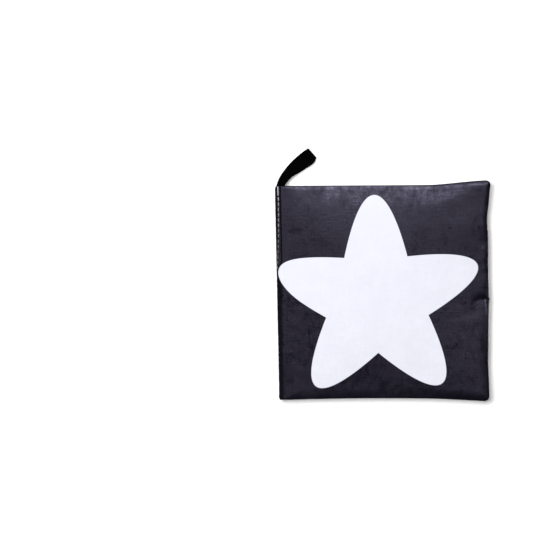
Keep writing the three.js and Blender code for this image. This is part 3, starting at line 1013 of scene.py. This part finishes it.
class BOOK_OT_ribbon(bpy.types.Operator):
    """Fold one ribbon on itself at the head of the spine"""
    bl_idname = "book.ribbon"
    bl_label = "Ribbon loop"

    def execute(self, context):
        form, spine = LeafShape(context.scene), context.scene.spine_sizes
        width, span = spine.ribbon_width / MM, spine.ribbon_span / MM
        thick, room, strand_gap, rest = 0.5, 0.6, 1.3, 0.85
        fold_gap = strand_gap + room
        level = rest + fold_gap / 2 + room / 2
        root = (form.axis[0] - form.height / 2 * math.sin(form.lean), form.height / 2)
        left_edge = [(-0.005, 0.004, 0.145), (0.068, 0.225, 0.128), (0.227, 0.485, 0.07),
                     (0.44, 0.762, 0.034), (0.665, 0.978, 0.01), (0.86, 1.132, 0.0), (0.938, 1.182, 0.0)]
        right_edge = [(0.2, 0.004, 0.32), (0.247, 0.09, 0.312), (0.465, 0.318, 0.236), (0.678, 0.432, 0.124),
                      (0.905, 0.566, 0.03), (1.103, 0.69, 0.0), (1.183, 0.773, 0.0), (1.215, 0.868, 0.0)]
        strand, bend = 80, 24

        def edge_path(edge):
            return smooth_path([(root[0] + span * out, root[1] + span * up, level + span * rise)
                                for out, up, rise in edge], strand)

        rings = []
        for near, far in zip(edge_path(left_edge), edge_path(right_edge)):
            across = Vector(far - near)
            rings.append([Vector((near + far) / 2), across.normalized(), across.length])
        line = []
        for i, (middle, across, wide) in enumerate(list(rings)):
            along = rings[min(i + 1, strand - 1)][0] - rings[max(i - 1, 0)][0]
            up = across.cross(along).normalized()
            along = up.cross(across).normalized()
            rings[i] += [up, along]
            line.append((middle - up * fold_gap / 2, across, up, wide))
        middle, across, wide, up, along = rings[-1]
        for i in range(1, bend):
            angle = math.pi * i / bend
            outward = up * -math.cos(angle) + along * math.sin(angle)
            line.append((middle + outward * fold_gap / 2, across, -outward, wide))
        for middle, across, wide, up, along in reversed(rings):
            line.append((middle + up * fold_gap / 2, across, -up, wide))
        centres = np.array([p[0][:] for p in line])
        sideways = np.array([p[1][:] for p in line])
        inward = np.array([p[2][:] for p in line])
        widths = np.array([p[3] for p in line])
        run = run_along(centres)
        rows, columns = len(line), 15

        def shape(row, column, side):
            i = np.round(row).astype(int)
            c = column / (columns - 1) * 2 - 1
            cup = 0.12 * (c ** 2) * np.sin(run[i] * 0.21)
            return centres[i] + sideways[i] * (c * widths[i] / 2)[:, None] \
                + inward[i] * ((side - 0.5) * thick + cup)[:, None]

        mesh, row, column, side = shell_mesh("ribbon", rows, columns, shape, rims=())
        i = np.round(row).astype(int)
        add_attribute(mesh, "along", run[i])
        add_attribute(mesh, "across", (column / (columns - 1) - 0.5) * width)
        ribbon = new_object("ribbon", mesh)
        dress(ribbon, ribbon_look("black_ribbon", context.scene.book_colours.ribbon))
        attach(ribbon, "back_cover")
        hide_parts("ribbon_loop")
        return {"FINISHED"}


# Stage

class BOOK_OT_stage(bpy.types.Operator):
    """Set the white table, the two lamps, the room light and the camera"""
    bl_idname = "book.stage"
    bl_label = "Stage"

    def execute(self, context):
        stage = context.scene.book_stage
        ground = bmesh.new()
        bmesh.ops.create_grid(ground, x_segments=1, y_segments=1, size=4.0)
        floor = new_object("floor", mesh_of("floor", ground))
        look = Look("white_table")
        seen = Value(look, look.node("ShaderNodeLightPath").outputs["Is Camera Ray"])
        grain = look.noise(0.02, 2.0)
        base = look.shade((0.9, 0.9, 0.9), 1 + grain * 0.01)
        glow = look.mix(seen, (0.0, 0.0, 0.0), (1.0, 1.0, 1.0))
        glow_power = 0.26 if stage.white_floor else 0.0
        finish = look.finish(base, 0.9, {"Emission Color": glow, "Emission Strength": glow_power})
        floor.data.materials.append(finish)
        floor.visible_glossy = False

        for name, size, watts, place, glints in (
                ("head_lamp", 0.7, stage.head_lamp, (0.06, 0.86, 1.22), True),
                ("wide_lamp", 0.55, stage.wide_lamp, (-0.42, 0.20, 1.46), False)):
            lamp = bpy.data.lights.new(name, "AREA")
            lamp.shape = "SQUARE"
            lamp.size = size
            lamp.energy = watts
            lamp_object = new_object(name, lamp)
            lamp_object.location = place
            lamp_object.visible_glossy = glints
            lamp_object.rotation_euler = (-lamp_object.location).to_track_quat("-Z", "Y").to_euler()

        world = bpy.data.worlds.new("room")
        context.scene.world = world
        world.use_nodes = True
        nodes, links = world.node_tree.nodes, world.node_tree.links
        sky = nodes["Background"]
        path = nodes.new("ShaderNodeLightPath")
        strength = nodes.new("ShaderNodeMix")
        strength.data_type = "FLOAT"
        strength.inputs[2].default_value = stage.sky
        strength.inputs[3].default_value = 1.0
        links.new(path.outputs["Is Camera Ray"], strength.inputs[0])
        links.new(strength.outputs[0], sky.inputs["Strength"])
        sky.inputs["Color"].default_value = (1.0, 1.0, 1.0, 1.0)

        camera = bpy.data.cameras.new("camera")
        lens, view_place = 198.7, (-0.08555, 0.0169)
        camera.lens = lens
        camera.sensor_width = 36.0
        camera.clip_end = 20.0
        camera_object = new_object("camera", camera)
        camera_object.location = (*view_place, stage.view_distance)
        context.scene.camera = camera_object
        context.scene.view_settings.view_transform = "Standard"
        return {"FINISHED"}


# Panel and registration

class BOOK_PT_panel(bpy.types.Panel):
    bl_label = "Cloth book"
    bl_idname = "BOOK_PT_panel"
    bl_space_type = "VIEW_3D"
    bl_region_type = "UI"
    bl_category = "Cloth book"

    def draw(self, context):
        scene = context.scene
        for group in (scene.book_sizes, scene.spine_sizes, scene.book_colours, scene.book_stage):
            box = self.layout.box()
            for key in group.bl_rna.properties.keys():
                if key not in ("rna_type", "name"):
                    box.prop(group, key)
        for operator in OPERATORS:
            self.layout.operator(operator.bl_idname)


OPERATORS = (BOOK_OT_stage, BOOK_OT_front_cover, BOOK_OT_leaves, BOOK_OT_sewn_edges, BOOK_OT_spine,
             BOOK_OT_stitches, BOOK_OT_ribbon)
CLASSES = (BookSizes, SpineSizes, BookColours, StageSettings, *OPERATORS, BOOK_PT_panel)


def register():
    for kind in CLASSES:
        bpy.utils.register_class(kind)
    bpy.types.Scene.book_sizes = PointerProperty(type=BookSizes)
    bpy.types.Scene.spine_sizes = PointerProperty(type=SpineSizes)
    bpy.types.Scene.book_colours = PointerProperty(type=BookColours)
    bpy.types.Scene.book_stage = PointerProperty(type=StageSettings)


def unregister():
    del bpy.types.Scene.book_sizes, bpy.types.Scene.spine_sizes
    del bpy.types.Scene.book_colours, bpy.types.Scene.book_stage
    for kind in reversed(CLASSES):
        bpy.utils.unregister_class(kind)


def main():
    register()
    bpy.ops.book.stage()
    bpy.ops.book.front_cover()
    bpy.ops.book.leaves()
    bpy.ops.book.sewn_edges()
    bpy.ops.book.spine()
    bpy.ops.book.stitches()
    bpy.ops.book.ribbon()


if __name__ == "__main__":
    main()
